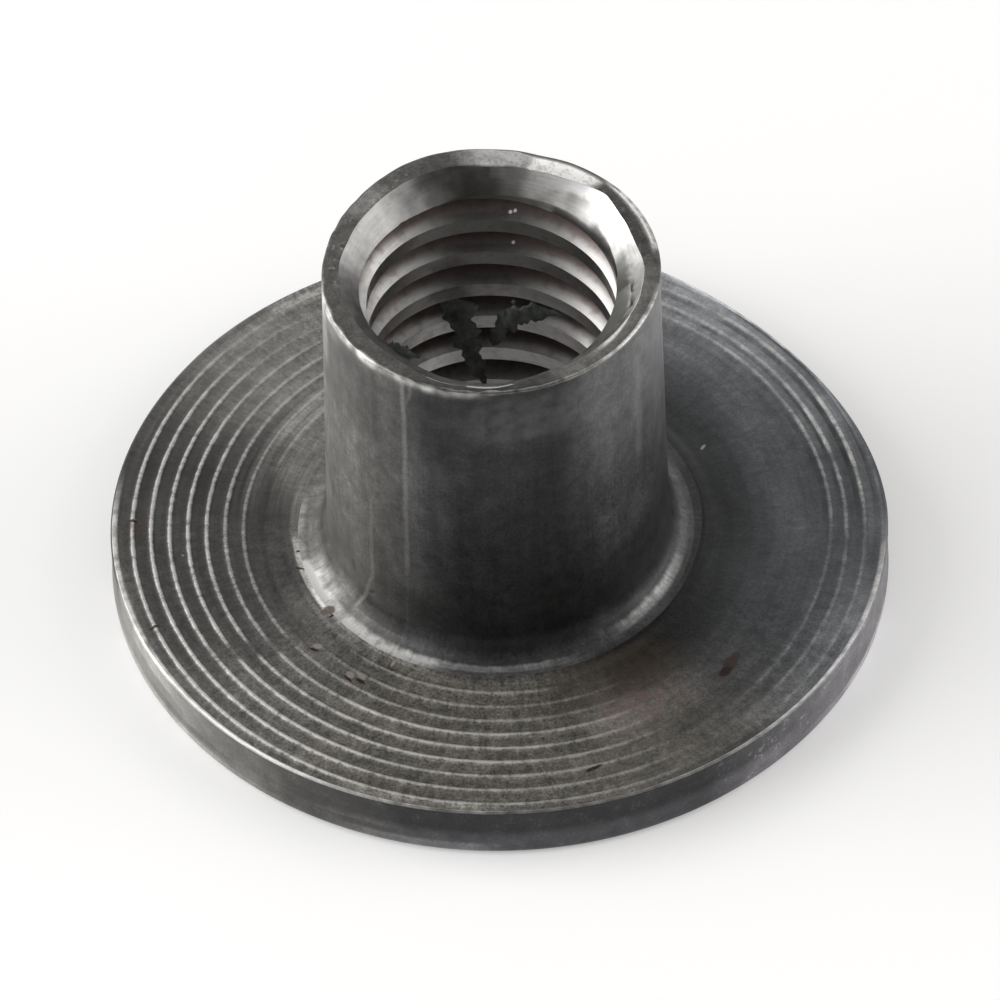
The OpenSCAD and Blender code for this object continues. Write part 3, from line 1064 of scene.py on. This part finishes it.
class TEENUT_OT_body(bpy.types.Operator):
    """Build the nut's body in place of the plain frame node"""

    bl_idname = "teenut.body"
    bl_label = "Tee nut body"

    def execute(self, context):
        shape = context.scene.teenut_shape
        colours = context.scene.teenut_finish
        count = shape.columns
        theta = np.linspace(0.0, TURN, count, endpoint=False)[:, None]
        outside, bare, worn, finishes = skin(theta, shape)
        inside, rows_per_pitch = bore(theta, shape, context.scene.teenut_thread)
        outside_count = outside.shape[0] * outside.shape[1]
        inside_count = inside.shape[0] * inside.shape[1]
        out_faces = grid_faces(count, outside.shape[1])
        in_faces = grid_faces(count, inside.shape[1], rows_per_pitch, outside_count)
        materials = {
            "face": face_finish(shape, colours),
            "barrel": barrel_finish(colours),
            "side": side_finish(colours),
            "underside": underside_finish(colours),
            "rim": rim_finish(colours),
            "bore": bore_finish(shape, colours),
        }
        names = list(materials)
        by_row = np.array([names.index(finish) for finish in finishes])
        bore_slots = np.full(len(in_faces), names.index("bore"))
        unworn = np.zeros(inside_count)
        piece = build_mesh(
            "nut_body",
            np.concatenate([outside.reshape(-1, 3), inside.reshape(-1, 3)]),
            np.concatenate([out_faces, in_faces]),
            materials.values(),
            np.concatenate([np.tile(by_row, count), bore_slots]),
            {
                "bare": np.concatenate([bare.ravel(), unworn]),
                "worn": np.concatenate([worn.ravel(), unworn]),
            },
        )
        mounted(piece)
        return {"FINISHED"}


class TEENUT_OT_swarf(bpy.types.Operator):
    """Lay the chips in the bore"""

    bl_idname = "teenut.swarf"
    bl_label = "Tee nut swarf"

    def execute(self, context):
        chips = context.scene.teenut_swarf
        material = swarf_finish(context.scene.teenut_finish)
        for name, widths, twist in (
            ("strip", (0.9, 0.6, 0.12), 0.7),
            ("leaf", (0.18, 0.56, 0.06), -0.8),
            ("curl", (0.1, 0.34, 0.05), 0.9),
        ):
            start, bend, end = (getattr(chips, f"{name}_{part}") for part in ("from", "bend", "to"))
            points = ribbon(start, bend, end, np.array(widths) * MM, chips.thickness, twist)
            faces = grid_faces(*points.shape[:2])
            piece = build_mesh(f"swarf_{name}", points, faces, [material], np.zeros(len(faces)), {})
            mounted(piece)
        return {"FINISHED"}


def aimed(position, target):
    """Rotation that points an object's -Z from position to target."""
    return (Vector(target) - Vector(position)).to_track_quat("-Z", "Y").to_matrix().to_4x4()


def softbox(name, azimuth, elevation, distance, width, height, radiance, tint):
    """An area lamp that faces the nut. Azimuth 0 is the camera's side, and it
    grows towards +X. Reflections see the light tent in its place."""
    a, e = math.radians(azimuth), math.radians(elevation)
    side, front = math.sin(a) * math.cos(e), -math.cos(a) * math.cos(e)
    position = Vector((side, front, math.sin(e))) * distance
    data = bpy.data.lights.new(name, "AREA")
    data.shape = "RECTANGLE"
    data.size = width
    data.size_y = height
    data.energy = radiance * math.pi * width * height
    data.color = tint
    lamp = new_object(name, data)
    lamp.matrix_world = Matrix.Translation(position) @ aimed(position, LAMP_AIM)
    lamp.visible_camera = False
    lamp.visible_glossy = False


def light_tent(radius):
    """A half dome round the nut that only reflections see: grey at the back, a
    bright panel at either side, and dark at the camera's side and overhead."""
    turn = np.linspace(0.0, TURN, TENT_COLUMNS, endpoint=False)[:, None]
    rise = np.linspace(0.0, math.pi / 2, TENT_ROWS)[None, :]
    points = polar(radius * np.cos(rise), turn, radius * np.sin(rise))
    faces = grid_faces(TENT_COLUMNS, TENT_ROWS)
    mesh = bpy.data.meshes.new("tent")
    mesh.from_pydata(points.reshape(-1, 3).tolist(), [], faces.tolist())
    f = Finish("tent")
    f.material.cycles.emission_sampling = "NONE"

    def panel(x, y, z, inner, outer):
        """1 within inner degrees of a direction, 0 past outer."""
        size = math.sqrt(x * x + y * y + z * z) * radius / MM
        toward = f.x * (x / size) + f.y * (y / size) + f.z * (z / size)
        return f.step(toward, cos_sin(outer)[0], cos_sin(inner)[0])

    glow = 0.42 + panel(-0.9, 0.1, 0.38, 20, 47) * 2.6 + panel(0.92, 0.14, 0.36, 8, 32) * 1.5
    glow = glow + panel(0.0, 0.93, 0.37, 12, 34) * 0.7
    glow = glow * (1.0 - panel(0.22, -0.72, 0.66, 30, 50) * 0.93)
    light = f.node("Emission", {}, {"Strength": glow})
    f.node("OutputMaterial", {}, {"Surface": light}, None)
    mesh.materials.append(f.material)
    tent = new_object("tent", mesh)
    for kind in ("camera", "shadow", "diffuse", "transmission"):
        setattr(tent, f"visible_{kind}", False)


def seen(nodes):
    """1 for a ray from the camera or off metal or through glass, 0 otherwise."""
    return highest(
        nodes.node("LightPath", {}, {}, f"Is {kind} Ray")
        for kind in ("Camera", "Glossy", "Transmission")
    )


def floor():
    """A pale floor that looks white and keeps the nut's shadow. It lies a hair
    below the nut, so that the two don't share a plane."""
    corners = [
        (x * FLOOR_HALF, y * FLOOR_HALF, -FLOOR_GAP)
        for x, y in ((-1, -1), (1, -1), (1, 1), (-1, 1))
    ]
    mesh = bpy.data.meshes.new("floor")
    mesh.from_pydata(corners, [], [(0, 1, 2, 3)])
    material = bpy.data.materials.new("floor")
    nodes = Nodes(material)
    paper = nodes.node("BsdfDiffuse", {}, {"Color": PAPER})
    glow = nodes.node("Emission", {}, {"Strength": seen(nodes) * FLOOR_GLOW})
    both = nodes.node("AddShader", {}, {0: paper, 1: glow})
    nodes.node("OutputMaterial", {}, {"Surface": both}, None)
    mesh.materials.append(material)
    new_object("floor", mesh)


def world_light():
    """A studio at WORLD_LEVEL that the camera and reflections see as white."""
    world = bpy.data.worlds.new("studio")
    bpy.context.scene.world = world
    nodes = Nodes(world)
    strength = seen(nodes) * (1.0 - WORLD_LEVEL) + WORLD_LEVEL
    sky = nodes.node("Background", {}, {"Strength": strength})
    nodes.node("OutputWorld", {}, {"Surface": sky}, None)


class TEENUT_OT_stage(bpy.types.Operator):
    """Set the camera, the floor and the lights"""

    bl_idname = "teenut.stage"
    bl_label = "Tee nut stage"

    def execute(self, context):
        stage = context.scene.teenut_stage
        e, roll = stage.elevation, stage.roll
        right = Vector((1, 0, 0))
        up = Vector((0, math.sin(e), math.cos(e)))
        back = Vector((0, -math.cos(e), math.sin(e)))
        aim = right * stage.aim_right + up * stage.aim_up
        cam_x = right * math.cos(roll) + up * math.sin(roll)
        cam_y = -right * math.sin(roll) + up * math.cos(roll)
        data = bpy.data.cameras.new("camera")
        data.lens = data.sensor_width * stage.distance / stage.view_width
        data.clip_start, data.clip_end = CLIP_RANGE
        camera = new_object("camera", data)
        turn = Matrix((cam_x, cam_y, back)).transposed().to_4x4()
        camera.matrix_world = Matrix.Translation(aim + back * stage.distance) @ turn
        context.scene.camera = camera
        floor()
        light_tent(stage.tent_r)
        softbox("softbox_left", -88, 25, 0.36, 0.42, 0.34, 3.6, (1.0, 0.99, 0.98))
        softbox("softbox_right", 88, 24, 0.36, 0.36, 0.32, 2, (1.0, 0.97, 0.93))
        world_light()
        context.scene.view_settings.view_transform = "Standard"
        return {"FINISHED"}


class TEENUT_PT_panel(bpy.types.Panel):
    """Lists the nut's settings and builders"""

    bl_idname = "TEENUT_PT_panel"
    bl_label = "Tee nut"
    bl_space_type = "VIEW_3D"
    bl_region_type = "UI"
    bl_category = "Tee nut"

    def draw(self, context):
        for group in GROUPS:
            settings = getattr(context.scene, group)
            for name in settings.bl_rna.properties.keys()[2:]:
                self.layout.prop(settings, name)
        for operator in (TEENUT_OT_body, TEENUT_OT_swarf, TEENUT_OT_stage):
            self.layout.operator(operator.bl_idname)


CLASSES = (
    TeeNutShape, TeeNutThread, TeeNutSwarf, TeeNutFinish, TeeNutStage,
    TEENUT_OT_body, TEENUT_OT_swarf, TEENUT_OT_stage, TEENUT_PT_panel,
)
GROUPS = {
    "teenut_shape": TeeNutShape,
    "teenut_thread": TeeNutThread,
    "teenut_swarf": TeeNutSwarf,
    "teenut_finish": TeeNutFinish,
    "teenut_stage": TeeNutStage,
}


def register():
    for cls in CLASSES:
        bpy.utils.register_class(cls)
    for name, group in GROUPS.items():
        setattr(bpy.types.Scene, name, PointerProperty(type=group))


def unregister():
    for name in GROUPS:
        delattr(bpy.types.Scene, name)
    for cls in reversed(CLASSES):
        bpy.utils.unregister_class(cls)


def main():
    """Builds everything in order."""
    register()
    bpy.ops.teenut.body()
    bpy.ops.teenut.swarf()
    bpy.ops.teenut.stage()


if __name__ == "__main__":
    main()
